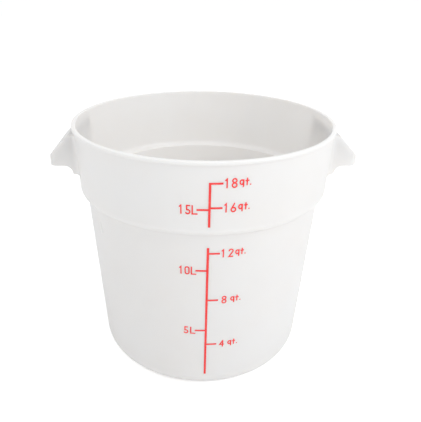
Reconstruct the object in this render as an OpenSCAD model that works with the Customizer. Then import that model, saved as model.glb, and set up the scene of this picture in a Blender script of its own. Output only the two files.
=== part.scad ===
// Round food storage container, moulded in one shot from translucent polypropylene,
// with a printed volume scale in quarts and litres on the front.
// Origin at the centre of the base, on the surface it stands on. +Z is up, the scale
// faces -Y and the two handles lie along +X and -X.

/* [Container] */
// Overall height from the standing surface to the top of the rim
container_height = 307.5; // [290:0.5:330]
// Outer diameter of the rim
rim_diameter = 315.5; // [308:0.5:330]
// Wall thickness of the walls
wall = 2.7; // [2:0.1:3.5]
// Thickness of the floor
floor_thickness = 3.6; // [3:0.1:5]

/* [Lower wall] */
// Outer diameter of the lower wall carried down to the standing surface
foot_diameter = 265.3; // [250:0.5:275]
// Outer diameter of the lower wall where it meets the shoulder
waist_diameter = 290.7; // [284:0.5:294]
// Outer radius of the rounded corner between the wall and the floor
corner_radius = 24; // [14:1:34]
// Depth of the shallow recess inside the foot ring
recess_depth = 0.8; // [0.4:0.1:1.2]
// Width of the flat foot ring that the container stands on
foot_ring_width = 9; // [5:1:16]

/* [Shoulder and upper band] */
// Height of the crease under the shoulder
crease_height = 224.5; // [210:0.5:235]
// Outer radius of the rounded shoulder
shoulder_radius = 8.6; // [7.6:0.1:9.2]
// Outer diameter of the upper band just above the shoulder
band_foot_diameter = 306; // [303:0.5:308]
// How far the rim stands out from the band
rim_overhang = 2.6; // [1.5:0.1:4]
// Height of the rim
rim_height = 4; // [3:0.1:6]
// Radius on the outer edges of the rim
rim_edge_radius = 1.2; // [0.6:0.1:1.4]
// Radius on the inner edge of the rim
rim_lip_radius = 1; // [0.6:0.1:1.2]

/* [Handles] */
// Distance from the axis to the tip of a handle
handle_reach = 180.5; // [177:0.5:184]
// Length of the handle's tip along the rim
handle_length = 90; // [80:1:100]
// Height at which the handle's sloping top leaves the wall
handle_top_height = 298.5; // [296:0.5:302]
// Height of the tip's upper edge
tip_top_height = 273.5; // [272:0.5:276]
// Height of the tip's lower edge
tip_bottom_height = 262; // [256:0.5:266]
// Radius of the handle's two outer corners, seen from above
tip_corner_radius = 8; // [4:0.5:12]
// Radius on the tip's upper edge
tip_edge_radius = 3.5; // [1.5:0.5:4]
// Radius of the hollow fillets that join a handle to the wall
root_fillet_radius = 10; // [8:1:14]
// Wall thickness of the hollow handle
handle_wall = 3; // [2.4:0.1:3.6]
// Thickness of the two ribs inside a handle
rib_thickness = 2.4; // [1.8:0.2:3.2]
// Distance between the two ribs inside a handle
rib_spacing = 30; // [20:1:50]
// Height of the lower edge of the ribs
rib_bottom_height = 270; // [268:1:271]

/* [Printed scale] */
// Thickness of the cured ink
ink = 0.2; // [0.1:0.05:0.3]
// Width of the upright line
stem_width = 2.4; // [1.6:0.1:3]
// Width of the tick lines
tick_width = 2; // [1.2:0.1:2.6]
// Length of a tick from the middle of the upright line
tick_length = 12.8; // [8:0.2:16]
// Distance from the crease up to the line's upper stretch
gap_above_crease = 12.4; // [11:0.2:14]
// Distance from the crease down to the line's lower stretch
gap_below_crease = 16.2; // [12:0.2:20]

/* [Hidden] */

fine_fn = 180;
edge_fn = 48;
far = 60;

polypropylene = [0.93, 0.93, 0.91];
print_red = [0.93, 0.16, 0.17];

rim_radius = rim_diameter / 2;
foot_radius = foot_diameter / 2;
waist_radius = waist_diameter / 2;
rim_bottom = container_height - rim_height;

// Lower wall: a straight draft line from the foot to the waist.
lower_slope = (waist_radius - foot_radius) / crease_height;
lower_draft = atan(lower_slope);
lower_wall_step = wall / cos(lower_draft);
function lower_r(z) = foot_radius + lower_slope * z;

// Upper band: a straight draft line from the shoulder to the rim.
band_foot_z = crease_height + shoulder_radius;
band_foot_r = band_foot_diameter / 2;
band_top_r = rim_radius - rim_overhang;
band_slope = (band_top_r - band_foot_r) / (rim_bottom - band_foot_z);
band_draft = atan(band_slope);
band_wall_step = wall / cos(band_draft);
function band_r(z) = band_foot_r + band_slope * (z - band_foot_z);

// Corner between wall and floor, outside and inside.
corner_x = lower_r(corner_radius) - corner_radius / cos(lower_draft);
inner_corner_radius = corner_radius - wall;
inner_corner_z = floor_thickness + inner_corner_radius;
inner_corner_x = lower_r(inner_corner_z) - lower_wall_step
               - inner_corner_radius / cos(lower_draft);
recess_radius = corner_x - foot_ring_width;

// Shoulder arc, tangent to the band and to the level of the crease.
shoulder_x = band_r(band_foot_z) - shoulder_radius / cos(band_draft);
inner_shoulder_radius = shoulder_radius - wall;
ledge_z = crease_height + wall;

// Heights at which one region of the moulding ends and the next begins.
pan_top = corner_radius + 3;
shoulder_bottom = crease_height - 6;
shoulder_top = band_foot_z + 3;

// Tangent point of an arc centred at x, z with the draft line.
function wall_tangent(x, z, r, draft) = [x + r * cos(draft), z - r * sin(draft)];

// Half section of the space inside the outer surface of the container.
module outer_section() {
    polygon([[0, 0], [corner_x, 0],
             wall_tangent(corner_x, corner_radius, corner_radius, lower_draft),
             [waist_radius, crease_height], [shoulder_x, crease_height],
             wall_tangent(shoulder_x, band_foot_z, shoulder_radius, band_draft),
             [band_top_r, rim_bottom], [band_r(container_height), container_height],
             [0, container_height]]);
    translate([corner_x, corner_radius]) circle(r = corner_radius, $fn = fine_fn);
    translate([shoulder_x, band_foot_z]) circle(r = shoulder_radius, $fn = fine_fn);
}

// Half section of the space that the container holds.
module inner_section() {
    polygon([[0, floor_thickness], [inner_corner_x, floor_thickness],
             wall_tangent(inner_corner_x, inner_corner_z, inner_corner_radius, lower_draft),
             [lower_r(ledge_z) - lower_wall_step, ledge_z], [shoulder_x, ledge_z],
             wall_tangent(shoulder_x, band_foot_z, inner_shoulder_radius, band_draft),
             [band_r(container_height) - band_wall_step, container_height],
             [band_r(container_height) - band_wall_step, container_height + 1],
             [0, container_height + 1]]);
    translate([inner_corner_x, inner_corner_z])
        circle(r = inner_corner_radius, $fn = fine_fn);
    translate([shoulder_x, band_foot_z])
        circle(r = inner_shoulder_radius, $fn = fine_fn);
}

// The part of the moulding's section between two heights, and outside or inside a radius,
// turned about the axis.
module wall_ring(bottom, top, from_r = 0, to_r = rim_radius) {
    color(polypropylene)
    rotate_extrude($fn = fine_fn)
    intersection() {
        difference() {
            outer_section();
            inner_section();
        }
        translate([from_r, bottom]) square([to_r - from_r, top - bottom]);
    }
}

// Flat floor with the foot ring, raised a little inside the ring.
module floor_pan() {
    color(polypropylene)
    difference() {
        wall_ring(0, pan_top, 0, corner_x);
        translate([0, 0, -1])
            cylinder(h = 1 + recess_depth, r = recess_radius, $fn = fine_fn);
    }
}

// Rounded corner that joins the floor to the wall.
module base_corner() {
    wall_ring(0, pan_top, corner_x, rim_radius);
}

module lower_wall() {
    wall_ring(pan_top, shoulder_bottom);
}

module shoulder() {
    wall_ring(shoulder_bottom, shoulder_top);
}

module upper_band() {
    wall_ring(shoulder_top, rim_bottom);
}

// Rim: a flat bead, proud of the band, with rounded edges.
module rim_bead() {
    inner_r = band_r(container_height) - band_wall_step;
    edge_x = rim_radius - rim_edge_radius;
    lip_x = inner_r + rim_lip_radius;
    color(polypropylene)
    rotate_extrude($fn = fine_fn)
    difference() {
        union() {
            translate([lip_x, rim_bottom])
                square([edge_x - lip_x, rim_height]);
            translate([inner_r - 1, rim_bottom])
                square([lip_x - inner_r + 1, rim_height - rim_lip_radius]);
            translate([edge_x, rim_bottom + rim_edge_radius])
                square([rim_edge_radius, rim_height - 2 * rim_edge_radius]);
            for (z = [rim_bottom + rim_edge_radius, container_height - rim_edge_radius])
                translate([edge_x, z]) circle(r = rim_edge_radius, $fn = edge_fn);
            translate([lip_x, container_height - rim_lip_radius])
                circle(r = rim_lip_radius, $fn = edge_fn);
        }
        inner_section();
    }
}

// Plan of a handle, inset all round: a tab with rounded outer corners.
module handle_plan(inset) {
    half = handle_length / 2 - inset;
    tip = handle_reach - inset;
    r = tip_corner_radius - inset;
    translate([tip - far, -half]) square([far - r, 2 * half]);
    translate([tip - far, r - half]) square([far, 2 * (half - r)]);
    for (side = [-1, 1])
        translate([tip - r, side * (half - r)]) circle(r = r, $fn = edge_fn);
}

// Hollow fillet between the side of the tab and the round wall, seen from above.
module root_fillet_plan() {
    half = handle_length / 2;
    root_r = band_r(tip_top_height);
    centre_y = half + root_fillet_radius;
    centre_r = root_r + root_fillet_radius;
    centre_x = sqrt(centre_r * centre_r - centre_y * centre_y);
    touch = root_r / centre_r;
    difference() {
        polygon([[centre_x, half - 2], [centre_x, half],
                 [centre_x * touch, centre_y * touch],
                 [centre_x * touch - 8, half - 2]]);
        translate([centre_x, centre_y])
            circle(r = root_fillet_radius, $fn = edge_fn);
    }
}

// Side view of a handle: the top slopes from the wall to the tip, and the underside
// runs level from the tip and curves down into the wall.
module handle_side_view() {
    start_x = rim_radius - 1;
    start_z = handle_top_height;
    underside_x = band_r(tip_bottom_height) + root_fillet_radius;
    root_z = tip_bottom_height - root_fillet_radius;
    round_x = handle_reach - tip_edge_radius;
    slope = atan2(start_z - tip_top_height, handle_reach - start_x);
    round_z = tip_top_height - tip_edge_radius * tan((90 - slope) / 2);
    inner_x = handle_reach - far;
    difference() {
        union() {
            polygon([[inner_x, root_z], [underside_x, root_z],
                     [underside_x, tip_bottom_height], [handle_reach, tip_bottom_height],
                     [handle_reach, round_z],
                     [round_x + tip_edge_radius * sin(slope),
                      round_z + tip_edge_radius * cos(slope)],
                     [start_x, start_z], [inner_x, start_z]]);
            translate([round_x, round_z]) circle(r = tip_edge_radius, $fn = edge_fn);
        }
        translate([underside_x, root_z]) circle(r = root_fillet_radius, $fn = fine_fn);
    }
}

// Side view of the hollow under a handle, open at the bottom.
module handle_hollow_view() {
    start_x = rim_radius - 1;
    slope = atan2(handle_top_height - tip_top_height, handle_reach - start_x);
    drop = handle_wall / cos(slope);
    tip = handle_reach - handle_wall;
    tip_z = tip_top_height + handle_wall * tan(slope) - drop;
    roof_z = handle_top_height - handle_wall;
    roof_x = tip - (roof_z - tip_z) / tan(slope);
    inner_x = handle_reach - far;
    polygon([[inner_x, tip_bottom_height - far], [tip, tip_bottom_height - far],
             [tip, tip_z], [roof_x, roof_z], [inner_x, roof_z]]);
}

// Extrude a side view along Y, so that its x stays x and its y becomes z.
module along_y(length) {
    translate([0, length / 2, 0]) rotate([90, 0, 0])
        linear_extrude(height = length) children();
}

// Handle on the +X side: a hollow ear, open below for the fingers, with two ribs.
module handle() {
    width = handle_length + 2 * root_fillet_radius;
    base_z = tip_bottom_height - far;
    color(polypropylene)
    difference() {
        intersection() {
            translate([0, 0, base_z]) {
                linear_extrude(height = 2 * far) handle_plan(0);
                linear_extrude(height = 2 * far) root_fillet_plan();
                mirror([0, 1, 0]) linear_extrude(height = 2 * far) root_fillet_plan();
            }
            along_y(width) handle_side_view();
        }
        difference() {
            intersection() {
                translate([0, 0, base_z]) linear_extrude(height = 2 * far)
                    handle_plan(handle_wall);
                along_y(width) handle_hollow_view();
            }
            for (side = [-1, 1])
                translate([band_foot_r - 10, side * rib_spacing / 2 - rib_thickness / 2,
                           rib_bottom_height])
                    cube([far, rib_thickness, far]);
        }
        rotate_extrude($fn = fine_fn) outer_section();
    }
}

module handle_right() {
    handle();
}

module handle_left() {
    rotate([0, 0, 180]) handle();
}

// Volumes on the scale in litres, and the height at which each is reached.
quart = 0.946353;
quart_marks = [18, 16, 12, 8, 4];
litre_marks = [15, 10, 5];
// Place of the waste area outside the rounded corner, as a share of the corner's radius
corner_centroid = 0.78;
// Height by which the rounded shoulder shortens the space inside the band
shoulder_loss = 1.6;
ledge_volume = floor_to(crease_height);

// Litres held below height z in the part of the container under the crease, with the
// rounded corner counted as a loss.
function cone_litres(r0, r1, h) = PI * h * (r0 * r0 + r0 * r1 + r1 * r1) / 3 / 1e6;
function corner_loss() =
    (1 - PI / 4) * inner_corner_radius * inner_corner_radius
    * 2 * PI * (inner_corner_x + corner_centroid * inner_corner_radius) / 1e6;
function floor_to(z) =
    cone_litres(lower_r(floor_thickness) - lower_wall_step,
                lower_r(z) - lower_wall_step, z - floor_thickness) - corner_loss();
function band_to(z) =
    ledge_volume + cone_litres(band_r(crease_height) - band_wall_step,
                               band_r(z) - band_wall_step, z - crease_height - shoulder_loss);
function litres_at(z) = z > crease_height ? band_to(z) : floor_to(z);
// Height of a volume, found by halving the interval.
function mark_z(litres, low = 30, high = 300, step = 24) =
    step == 0 ? (low + high) / 2
    : litres_at((low + high) / 2) > litres
    ? mark_z(litres, low, (low + high) / 2, step - 1)
    : mark_z(litres, (low + high) / 2, high, step - 1);

stem_top = mark_z(quart_marks[0] * quart) + tick_width / 2;
stem_gap_top = crease_height + gap_above_crease;
stem_gap_bottom = crease_height - gap_below_crease;
stem_bottom = corner_radius + 2;

function skin_r(z) = z > crease_height ? band_r(z) : lower_r(z);
function degrees_at(z, arc) = arc / skin_r(z) * 180 / PI;

// Thin skin on the outside of the wall between two heights, across the front.
module ink_skin(bottom, top, from_arc, to_arc) {
    r0 = skin_r(bottom);
    r1 = skin_r(top);
    start = degrees_at(bottom, from_arc) - 90;
    rotate([0, 0, start])
    rotate_extrude(angle = degrees_at(bottom, to_arc) - 90 - start, $fn = fine_fn)
        polygon([[r0, bottom], [r0 + ink, bottom], [r1 + ink, top], [r1, top]]);
}

// Upright line in two stretches, with a gap over the shoulder.
module scale_line() {
    color(print_red) {
        ink_skin(stem_gap_top, stem_top, -stem_width / 2, stem_width / 2);
        ink_skin(stem_bottom, stem_gap_bottom, -stem_width / 2, stem_width / 2);
    }
}

// Ticks in quarts, to the right of the upright line.
module quart_ticks() {
    color(print_red)
    for (mark = quart_marks) {
        z = mark_z(mark * quart);
        ink_skin(z - tick_width / 2, z + tick_width / 2, stem_width / 2, tick_length);
    }
}

// Ticks in litres, to the left of the upright line.
module litre_ticks() {
    color(print_red)
    for (mark = litre_marks) {
        z = mark_z(mark);
        ink_skin(z - tick_width / 2, z + tick_width / 2, -tick_length, -stem_width / 2);
    }
}

floor_pan();
base_corner();
lower_wall();
shoulder();
upper_band();
rim_bead();
handle_right();
handle_left();
scale_line();
quart_ticks();
litre_ticks();
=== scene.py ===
import math

import bmesh
import bpy
from mathutils import Matrix, Vector

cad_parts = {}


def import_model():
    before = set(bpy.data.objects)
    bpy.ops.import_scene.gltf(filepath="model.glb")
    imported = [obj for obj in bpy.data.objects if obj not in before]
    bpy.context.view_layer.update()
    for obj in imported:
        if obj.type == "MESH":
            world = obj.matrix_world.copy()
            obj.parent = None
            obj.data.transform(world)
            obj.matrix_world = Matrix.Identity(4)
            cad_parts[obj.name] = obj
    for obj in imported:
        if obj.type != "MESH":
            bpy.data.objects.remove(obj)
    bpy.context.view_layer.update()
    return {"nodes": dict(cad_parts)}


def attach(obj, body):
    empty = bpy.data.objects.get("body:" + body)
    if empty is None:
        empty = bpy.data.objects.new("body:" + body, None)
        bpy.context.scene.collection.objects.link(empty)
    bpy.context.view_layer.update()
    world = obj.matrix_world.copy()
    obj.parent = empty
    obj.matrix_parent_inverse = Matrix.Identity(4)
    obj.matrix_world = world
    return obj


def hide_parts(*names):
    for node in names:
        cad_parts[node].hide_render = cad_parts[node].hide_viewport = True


MM = 0.001

# The moulding, in mm, as in the CAD: its outside is straight lines of radius against height.
FOOT_R, WAIST_R, CREASE_Z = 132.65, 145.35, 224.5
RIM_R, RIM_Z, RIM_OVERHANG, RIM_HEIGHT = 157.75, 307.5, 2.6, 4.0
WALL, FLOOR = 2.7, 3.6
CORNER_R, SHOULDER_R = 24.0, 8.6
RECESS_R, RECESS_Z = 101.0, 0.8
BAND_FOOT_R, BAND_FOOT_Z = 153.0, CREASE_Z + SHOULDER_R
BAND_TOP_R, BAND_TOP_Z = RIM_R - RIM_OVERHANG, RIM_Z - RIM_HEIGHT

# How far each rounded edge of the shell reaches, half the width of the recess's side, and the angle
# in degrees at which the shoulder's round leaves the crease.
RING_SOFT, CREASE_SOFT, UNDER_RIM_SOFT = 0.35, 0.9, 0.7
RIM_LOW_SOFT, RIM_TOP_SOFT, LIP_SOFT = 1.2, 1.4, 1.1
RECESS_SIDE, SHOULDER_START = 0.3, -70

# Mesh of the shell: faces round the axis, steps up the walls, steps next to an edge, and rings of
# faces across the flat underside and the floor.
ROUND_STEPS, WALL_STEP, END_STEP, FLAT_END_STEP = 288, 9, 1.2, 2
UNDERSIDE_RINGS, FLOOR_RINGS = (0, 40, 80, 98), (70, 35, 0)

# How near the skin a handle's vertex counts as its root, and how far the root is sunk into the wall.
ROOT_REACH, SINK = 0.15, 0.4

# Angle in degrees above which an edge is sharp, on a piece and on the shell, and the distance in
# metres within which vertices are merged.
SHARP, SHELL_SHARP, MERGE = 40, 32, 1e-6

# Printed characters, in mm: width and height of a stroke, how much higher each next stroke of a
# character lies, half the height and half the width of a figure, and steps in a loop or round end.
STROKE, INK, OVERLAP = 1.4, 0.2, 0.01
H, W = 4.5, 2.1
LOOP, END_ROUND = 20, 8

# Ends of a stroke this near to each other close a loop, and no corner's points go further out than
# half the stroke's width divided by the limit.
CLOSE, CORNER_LIMIT = 0.01, 0.45

# Vertices of the CAD's ticks that are further apart in height than this belong to two ticks.
TICK_GAP = 6

# Studio: radius of its floor and drop below the foot, in metres, the floor's lift for the camera, and
# the strength of the surroundings as light and as the camera sees them.
STUDIO_RADIUS, STUDIO_DROP, STUDIO_LIFT = 6, 0.0003, 0.5
SKY_AS_LIGHT, SKY_TO_CAMERA = 0.87, 1.02


def wall_r(z):
    """Outside radius of the lower wall or the band at a height."""
    if z < (CREASE_Z + BAND_FOOT_Z) / 2:
        return FOOT_R + (WAIST_R - FOOT_R) * z / CREASE_Z
    return BAND_FOOT_R + (BAND_TOP_R - BAND_FOOT_R) * (z - BAND_FOOT_Z) / (BAND_TOP_Z - BAND_FOOT_Z)


def arc(cx, cy, r, start, end, steps):
    """Points on a circle from one angle to another, in degrees."""
    turns = [math.radians(start + (end - start) * i / steps) for i in range(steps + 1)]
    return [(cx + r * math.cos(a), cy + r * math.sin(a)) for a in turns]


def line(start, end):
    """Points between two points, close together at the ends so that flat stretches stay flat."""
    length = math.dist(start, end)
    count = round(length / WALL_STEP)
    stops = [END_STEP / length] + [i / count for i in range(1, count)] + [1 - END_STEP / length]
    return [(start[0] + (end[0] - start[0]) * t, start[1] + (end[1] - start[1]) * t) for t in stops]


def bend(before, corner, after, reach, steps=6):
    """A rounded corner that leaves both lines at the given distance from it."""
    corner = Vector(corner)
    a = corner + (Vector(before) - corner).normalized() * reach
    b = corner + (Vector(after) - corner).normalized() * reach
    ts = [i / steps for i in range(steps + 1)]
    return [tuple(a * (1 - t) ** 2 + corner * 2 * t * (1 - t) + b * t * t) for t in ts]


def shell_profile():
    """Section of the moulding, from the middle of the base up the outside and down the inside."""
    slope = (WAIST_R - FOOT_R) / CREASE_Z
    draft = math.degrees(math.atan(slope))
    inset = WALL / math.cos(math.radians(draft))
    centre_r = wall_r(CORNER_R) - CORNER_R / math.cos(math.radians(draft))
    shoulder_r = BAND_FOOT_R - SHOULDER_R

    bottom = arc(centre_r, CORNER_R, CORNER_R, -90, -draft, 22)
    shoulder = arc(shoulder_r, BAND_FOOT_Z, SHOULDER_R, SHOULDER_START, 0, 12)
    crease = (WAIST_R, CREASE_Z)
    under_rim, rim_low = (BAND_TOP_R, BAND_TOP_Z), (RIM_R, BAND_TOP_Z)
    rim_top, lip = (RIM_R, RIM_Z), (wall_r(RIM_Z) - WALL, RIM_Z)
    side_in, side_out = (RECESS_R - RECESS_SIDE, RECESS_Z), (RECESS_R + RECESS_SIDE, 0)
    out = [(r, RECESS_Z) for r in UNDERSIDE_RINGS]
    out += bend(out[-1], side_in, side_out, RING_SOFT, 3)
    out += bend(out[-1], side_out, (centre_r, 0), RING_SOFT, 3)
    out += [(RECESS_R + FLAT_END_STEP, 0), (centre_r - FLAT_END_STEP, 0)] + bottom
    out += line(bottom[-1], crease)
    out += bend(bottom[-1], crease, shoulder[0], CREASE_SOFT)
    out += shoulder + line(shoulder[-1], under_rim)
    out += bend(shoulder[-1], under_rim, rim_low, UNDER_RIM_SOFT)
    out += bend(under_rim, rim_low, rim_top, RIM_LOW_SOFT)
    out += bend(rim_low, rim_top, lip, RIM_TOP_SOFT)

    ledge = arc(shoulder_r, BAND_FOOT_Z, SHOULDER_R - WALL, 0, -90, 10)
    ledge_z = ledge[-1][1]
    ledge_edge = (FOOT_R + slope * ledge_z - inset, ledge_z)
    inner_r = CORNER_R - WALL
    inner_z = FLOOR + inner_r
    inner_c = FOOT_R + slope * inner_z - inset - inner_r / math.cos(math.radians(draft))
    inside = arc(inner_c, inner_z, inner_r, -draft, -90, 20)
    out += bend(rim_top, lip, ledge[0], LIP_SOFT) + line(lip, ledge[0]) + ledge
    out += bend(ledge[-1], ledge_edge, inside[0], LIP_SOFT)
    out += line(ledge_edge, inside[0]) + inside
    return out + [(r, FLOOR) for r in (inner_c - FLAT_END_STEP, *FLOOR_RINGS)]


def revolve(name, profile):
    """A closed solid of revolution round Z; the profile's first and last points lie on the axis."""
    bm = bmesh.new()
    turns = [2 * math.pi * i / ROUND_STEPS for i in range(ROUND_STEPS)]
    rows = []
    for r, z in profile:
        around = turns if r else turns[:1]
        rows.append([
            bm.verts.new((r * MM * math.cos(a), r * MM * math.sin(a), z * MM)) for a in around
        ])
    for low, high in zip(rows, rows[1:]):
        for i in range(ROUND_STEPS):
            j = (i + 1) % ROUND_STEPS
            if len(low) == 1:
                bm.faces.new((low[0], high[j], high[i]))
            elif len(high) == 1:
                bm.faces.new((low[i], low[j], high[0]))
            else:
                bm.faces.new((low[i], low[j], high[j], high[i]))
    bmesh.ops.recalc_face_normals(bm, faces=bm.faces)
    return finished(name, bm)


def join_handle(shell, node):
    """Joins a copy of a CAD handle to the shell, sunk a little into its wall, as one solid."""
    bm = bmesh.new()
    bm.from_mesh(node.data)
    bmesh.ops.remove_doubles(bm, verts=bm.verts, dist=MERGE)
    for v in bm.verts:
        r = math.hypot(v.co.x, v.co.y)
        if abs(r - wall_r(v.co.z / MM) * MM) < ROOT_REACH * MM:
            v.co.xy *= (r - SINK * MM) / r
    mesh = bpy.data.meshes.new("handle_copy")
    bm.to_mesh(mesh)
    bm.free()
    handle = bpy.data.objects.new("handle_copy", mesh)
    bpy.context.scene.collection.objects.link(handle)
    union = shell.modifiers.new("union", "BOOLEAN")
    union.operation, union.solver, union.object = "UNION", "EXACT", handle
    result = shell.evaluated_get(bpy.context.evaluated_depsgraph_get())
    joined = bpy.data.meshes.new_from_object(result)
    shell.modifiers.clear()
    shell.data = joined
    bpy.data.objects.remove(handle)


def finished(name, bm):
    """Puts a mesh in the scene as an object, smooth except at its edges."""
    mesh = bpy.data.meshes.new(name)
    bm.to_mesh(mesh)
    bm.free()
    mesh.shade_smooth()
    mesh.set_sharp_from_angle(angle=math.radians(SHARP))
    piece = bpy.data.objects.new(name, mesh)
    bpy.context.scene.collection.objects.link(piece)
    return piece


def oval(cx, cy, rx, ry):
    """Points on an upright oval, for a printed character."""
    return [(cx + (x - cx) * rx, cy + (y - cy) * ry) for x, y in arc(cx, cy, 1, 0, 360, LOOP)]


# Strokes of each printed character round the middle of its own box; a loop ends where it starts.
GLYPHS = {
    "1": [[(0.4, -H), (0.4, H), (-1.0, H - 1.4)]],
    "2": [arc(0, H - W, W, 170, -28, 14) + [(-W, -H), (W, -H)]],
    "4": [[(0.9, -H), (0.9, H)], [(0.9, H), (-2.5, -1.4), (2.1, -1.4)]],
    "5": [[(1.9, H), (-1.1, H), (-1.1, 0.1)], arc(-0.1, W + 0.1 - H, W + 0.1, 115, -150, 16)],
    "6": [arc(0, -H / 2, H / 2, 0, 360, LOOP), [(-W, 0.6 - H / 2), (0.9, H)]],
    "8": [arc(0, H - W + 0.1, W - 0.1, 0, 360, LOOP), arc(0, -H / 2, H / 2, 0, 360, LOOP)],
    "0": [arc(0, H - W, W, 0, 180, 10) + arc(0, W - H, W, 180, 360, 10) + [(W, H - W)]],
    "L": [[(-2.4, H), (-2.4, -H), (2.4, -H)]],
    "q": [oval(-0.1, 0.4, 1.7, 2.3), [(1.7, 2.7), (1.7, -4.4)]],
    "t": [[(0, H - 0.4), (0, -2.7)], [(-1.3, 1.8), (1.4, 1.8)]],
    ".": [[(-0.05, -2.5), (0.05, -2.5)]],
}

# Each label's characters, with their distance in mm from the upright line along the wall. The
# labels go from the lowest tick to the highest.
QUARTS = [
    [("4", 19.4), ("q", 28.5), ("t", 33.8), (".", 37.6)],
    [("8", 19.6), ("q", 29.1), ("t", 34.4), (".", 38.2)],
    [("1", 16.0), ("2", 24.6), ("q", 31.6), ("t", 36.8), (".", 40.4)],
    [("1", 16.0), ("6", 23.8), ("q", 31.0), ("t", 36.4), (".", 40.0)],
    [("1", 16.0), ("8", 23.8), ("q", 31.0), ("t", 36.4), (".", 40.0)],
]
LITRES = [
    [("5", -23.0), ("L", -15.0)],
    [("1", -28.8), ("0", -21.8), ("L", -14.8)],
    [("1", -28.6), ("5", -21.4), ("L", -14.6)],
]


def tick_heights(node):
    """Height of the middle of each tick of a CAD node, lowest first, in mm."""
    heights = sorted(v.co.z / MM for v in node.data.vertices)
    groups = [[heights[0]]]
    for z in heights[1:]:
        if z - groups[-1][-1] > TICK_GAP:
            groups.append([])
        groups[-1].append(z)
    return [(g[0] + g[-1]) / 2 for g in groups]


def add_stroke(bm, points, place, lift):
    """One ink stroke with round ends: its top stands a little off the wall, and its sides go into it."""
    closed = math.dist(points[0], points[-1]) < CLOSE
    pts = [Vector(p) for p in (points[:-1] if closed else points)]
    n = len(pts)
    edge_a, edge_b = [], []
    for i, p in enumerate(pts):
        ahead = (pts[(i + 1) % n] - p).normalized() if closed or i < n - 1 else None
        behind = (p - pts[i - 1]).normalized() if closed or i > 0 else None
        run = ((ahead or behind) + (behind or ahead)).normalized()
        side = Vector((-run.y, run.x))
        first = ahead or behind
        reach = STROKE / 2 / max(CORNER_LIMIT, side.dot(Vector((-first.y, first.x))))
        edge_a.append(p + side * reach)
        edge_b.append(p - side * reach)

    def up(p, height):
        return bm.verts.new(place(p, height))

    def wall(loop):
        """Side faces below a run of outline points."""
        top = [up(p, lift) for p in loop]
        low = [up(p, -INK) for p in loop]
        for i in range(len(loop) - 1):
            bm.faces.new((top[i], top[i + 1], low[i + 1], low[i]))

    pairs = [(up(a, lift), up(b, lift)) for a, b in zip(edge_a, edge_b)]
    for i in range(n if closed else n - 1):
        (a, b), (c, d) = pairs[i], pairs[(i + 1) % n]
        bm.faces.new((a, b, d, c))
    if closed:
        wall(edge_a + edge_a[:1])
        wall(edge_b + edge_b[:1])
        return
    wall(edge_a)
    wall(edge_b)
    for end, rim in ((pts[0], edge_a[0]), (pts[-1], edge_b[-1])):
        out = rim - end
        turn = [Matrix.Rotation(math.pi * k / END_ROUND, 2) @ out for k in range(END_ROUND + 1)]
        ring = [end + t for t in turn]
        bm.faces.new([up(p, lift) for p in ring])
        wall(ring)


def on_wall(z, s):
    """The function that wraps a character round the wall, at a height and a distance along it."""
    around = wall_r(z)

    def place(p, height):
        angle = (s + p[0]) / around
        r = wall_r(z + p[1]) + height
        return (r * MM * math.sin(angle), -r * MM * math.cos(angle), (z + p[1]) * MM)

    return place


def numerals(name, node, labels):
    """The characters beside the ticks of one CAD node, wrapped round the wall."""
    bm = bmesh.new()
    for z, label in zip(tick_heights(node), labels):
        for glyph, s in label:
            for k, stroke in enumerate(GLYPHS[glyph]):
                add_stroke(bm, stroke, on_wall(z, s), INK + OVERLAP * k)
    bmesh.ops.remove_doubles(bm, verts=bm.verts, dist=MERGE)
    bmesh.ops.recalc_face_normals(bm, faces=bm.faces)
    return finished(name, bm)


def node_of(tree, kind, **settings):
    """Adds a node to a material or the world."""
    node = tree.nodes.new(kind)
    for key, value in settings.items():
        setattr(node, key, value)
    return node


def noise(tree, coords, scale, detail, stretch=(1, 1, 1)):
    """Noise over the object's own place, in features per metre."""
    mapping = node_of(tree, "ShaderNodeMapping")
    mapping.inputs["Scale"].default_value = stretch
    tree.links.new(coords, mapping.inputs["Vector"])
    texture = node_of(tree, "ShaderNodeTexNoise")
    texture.inputs["Scale"].default_value = scale
    texture.inputs["Detail"].default_value = detail
    tree.links.new(mapping.outputs["Vector"], texture.inputs["Vector"])
    return texture.outputs["Fac"]


def spread(tree, value, low, high, start=0.3, end=0.7):
    """Maps noise to a range of numbers."""
    node = node_of(tree, "ShaderNodeMapRange")
    for key, number in (("From Min", start), ("From Max", end), ("To Min", low), ("To Max", high)):
        node.inputs[key].default_value = number
    tree.links.new(value, node.inputs["Value"])
    return node.outputs["Result"]


def blend(tree, value, low, high, start=0.32, end=0.68):
    """Maps noise to a colour between two."""
    ramp = node_of(tree, "ShaderNodeValToRGB")
    first, last = ramp.color_ramp.elements
    first.position, last.position = start, end
    first.color, last.color = (*low, 1), (*high, 1)
    tree.links.new(value, ramp.inputs["Fac"])
    return ramp.outputs["Color"]


def new_material(name):
    """A material with its node tree, its shader and the object's own coordinates."""
    material = bpy.data.materials.new(name)
    material.use_nodes = True
    tree = material.node_tree
    shader = tree.nodes["Principled BSDF"]
    coords = node_of(tree, "ShaderNodeTexCoord").outputs["Object"]
    return material, tree, shader, coords


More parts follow.
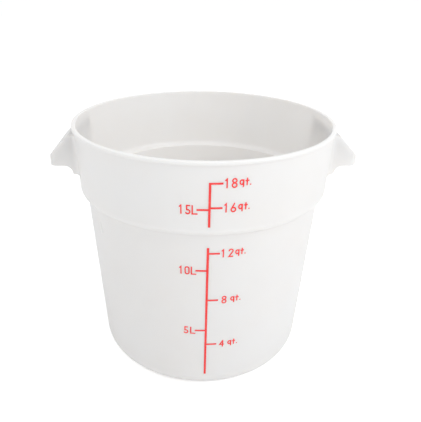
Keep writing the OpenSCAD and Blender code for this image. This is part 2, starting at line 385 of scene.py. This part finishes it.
def polypropylene():
    """Milky natural plastic: faint flow clouds, fine scuffs and a slightly uneven gloss."""
    material, tree, shader, coords = new_material("natural_polypropylene")
    clouds = noise(tree, coords, scale=7, detail=3)
    colour = blend(tree, clouds, (0.868, 0.835, 0.804), (0.878, 0.865, 0.848))
    tree.links.new(colour, shader.inputs["Base Color"])
    scuffs = noise(tree, coords, scale=45, detail=2, stretch=(1, 1, 0.4))
    gloss = spread(tree, scuffs, 0.27, 0.34, start=0.2, end=0.8)
    tree.links.new(gloss, shader.inputs["Roughness"])
    grain = noise(tree, coords, scale=700, detail=2)
    waves = noise(tree, coords, scale=28, detail=2)
    waves_over_grain = 2.0
    height = node_of(tree, "ShaderNodeMath", operation="MULTIPLY_ADD")
    height.inputs[1].default_value = waves_over_grain
    tree.links.new(waves, height.inputs[0])
    tree.links.new(grain, height.inputs[2])
    bump = node_of(tree, "ShaderNodeBump")
    bump.inputs["Strength"].default_value = 0.25
    bump.inputs["Distance"].default_value = 0.00006
    tree.links.new(height.outputs["Value"], bump.inputs["Height"])
    tree.links.new(bump.outputs["Normal"], shader.inputs["Normal"])
    shader.inputs["IOR"].default_value = 1.49
    shader.inputs["Subsurface Weight"].default_value = 0.65
    shader.inputs["Subsurface Radius"].default_value = (1.0, 0.93, 0.85)
    shader.inputs["Subsurface Scale"].default_value = 0.016
    return material


def print_ink():
    """Matt red screen print, a little lighter in places."""
    material, tree, shader, coords = new_material("red_print_ink")
    patches = noise(tree, coords, scale=130, detail=4)
    colour = blend(tree, patches, (0.93, 0.035, 0.035), (0.98, 0.075, 0.07))
    tree.links.new(colour, shader.inputs["Base Color"])
    tree.links.new(spread(tree, patches, 0.45, 0.6), shader.inputs["Roughness"])
    bump = node_of(tree, "ShaderNodeBump")
    bump.inputs["Strength"].default_value = 0.3
    bump.inputs["Distance"].default_value = 0.00003
    tree.links.new(noise(tree, coords, scale=1500, detail=1), bump.inputs["Height"])
    tree.links.new(bump.outputs["Normal"], shader.inputs["Normal"])
    shader.inputs["IOR"].default_value = 1.45
    return material


def stage_material():
    """Pale floor, lifted a little for the camera so that it reads as white with its shadow kept."""
    material = bpy.data.materials.new("studio_floor")
    material.use_nodes = True
    tree = material.node_tree
    shader = tree.nodes["Principled BSDF"]
    shader.inputs["Base Color"].default_value = (0.9, 0.9, 0.9, 1)
    shader.inputs["Roughness"].default_value = 0.9
    shader.inputs["Specular IOR Level"].default_value = 0.0
    shader.inputs["Emission Color"].default_value = (1, 1, 1, 1)
    path = node_of(tree, "ShaderNodeLightPath")
    lift = node_of(tree, "ShaderNodeMath", operation="MULTIPLY")
    lift.inputs[1].default_value = STUDIO_LIFT
    tree.links.new(path.outputs["Is Camera Ray"], lift.inputs[0])
    tree.links.new(lift.outputs["Value"], shader.inputs["Emission Strength"])
    return material


def studio_floor():
    """Round floor just below the foot, as white to the camera as the surroundings at its edge."""
    bm = bmesh.new()
    bmesh.ops.create_circle(bm, cap_ends=True, segments=96, radius=STUDIO_RADIUS)
    bmesh.ops.translate(bm, verts=bm.verts, vec=(0, 0, -STUDIO_DROP))
    floor = finished("studio_floor", bm)
    floor.data.materials.append(stage_material())


def lamp(name, place, size, power, target=(0, 0, 0.15)):
    """Square soft light aimed at a point."""
    light = bpy.data.lights.new(name, "AREA")
    light.shape = "SQUARE"
    light.size, light.energy = size, power
    holder = bpy.data.objects.new(name, light)
    holder.location = place
    holder.rotation_euler = (Vector(target) - Vector(place)).to_track_quat("-Z", "Y").to_euler()
    bpy.context.scene.collection.objects.link(holder)


def world():
    """Even white surroundings: plain white to the camera, softer for everything else."""
    sky = bpy.data.worlds.new("studio")
    sky.use_nodes = True
    tree = sky.node_tree
    background = tree.nodes["Background"]
    background.inputs["Color"].default_value = (0.985, 0.992, 1, 1)
    path = node_of(tree, "ShaderNodeLightPath")
    level = node_of(tree, "ShaderNodeMapRange")
    level.inputs["To Min"].default_value = SKY_AS_LIGHT
    level.inputs["To Max"].default_value = SKY_TO_CAMERA
    tree.links.new(path.outputs["Is Camera Ray"], level.inputs["Value"])
    tree.links.new(level.outputs["Result"], background.inputs["Strength"])
    bpy.context.scene.world = sky


def camera():
    """Camera close in front of the container and above its rim, from the fit to the photo."""
    lens = bpy.data.cameras.new("camera")
    lens.sensor_fit, lens.sensor_width, lens.lens = "HORIZONTAL", 36.0, 42.085
    lens.shift_x, lens.shift_y = 0.02626, 0.01063
    lens.clip_start, lens.clip_end = 0.02, 40.0
    place, pan, tilt, roll = (-0.02707, -0.5889, 0.4634), 0.03971, 0.45445, 0.01388
    ahead = Vector((math.sin(pan) * math.cos(tilt), math.cos(pan) * math.cos(tilt), -math.sin(tilt)))
    level = Vector((math.cos(pan), -math.sin(pan), 0))
    over = level.cross(ahead)
    right = level * math.cos(roll) + over * math.sin(roll)
    up = over * math.cos(roll) - level * math.sin(roll)
    holder = bpy.data.objects.new("camera", lens)
    turn = Matrix((right, up, -ahead)).transposed().to_4x4()
    holder.matrix_world = Matrix.Translation(place) @ turn
    bpy.context.scene.collection.objects.link(holder)
    bpy.context.scene.camera = holder


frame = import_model()
nodes = frame["nodes"]

plastic, ink = polypropylene(), print_ink()
for name, node in nodes.items():
    printed = name in ("scale_line", "quart_ticks", "litre_ticks")
    node.data.materials.clear()
    node.data.materials.append(ink if printed else plastic)

shell = revolve("moulded_body", shell_profile())
join_handle(shell, nodes["handle_right"])
join_handle(shell, nodes["handle_left"])
shell.data.name = "moulded_body"
shell.data.shade_smooth()
shell.data.set_sharp_from_angle(angle=math.radians(SHELL_SHARP))
flat = shell.modifiers.new("flat faces", "WEIGHTED_NORMAL")
flat.keep_sharp = True
shell.data.materials.clear()
shell.data.materials.append(plastic)
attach(shell, "root")
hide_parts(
    "floor_pan", "base_corner", "lower_wall", "shoulder", "upper_band", "rim_bead",
    "handle_right", "handle_left",
)

for name, node, labels in (
    ("quart_numerals", nodes["quart_ticks"], QUARTS),
    ("litre_numerals", nodes["litre_ticks"], LITRES),
):
    print_piece = numerals(name, node, labels)
    print_piece.data.materials.append(ink)
    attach(print_piece, "root")

studio_floor()
lamp("key", place=(1.05, -0.8, 1.2), size=0.8, power=6.9)
lamp("top", place=(0.1, 0.2, 1.9), size=0.6, power=2.0)
world()
camera()
bpy.context.scene.view_settings.view_transform = "Standard"
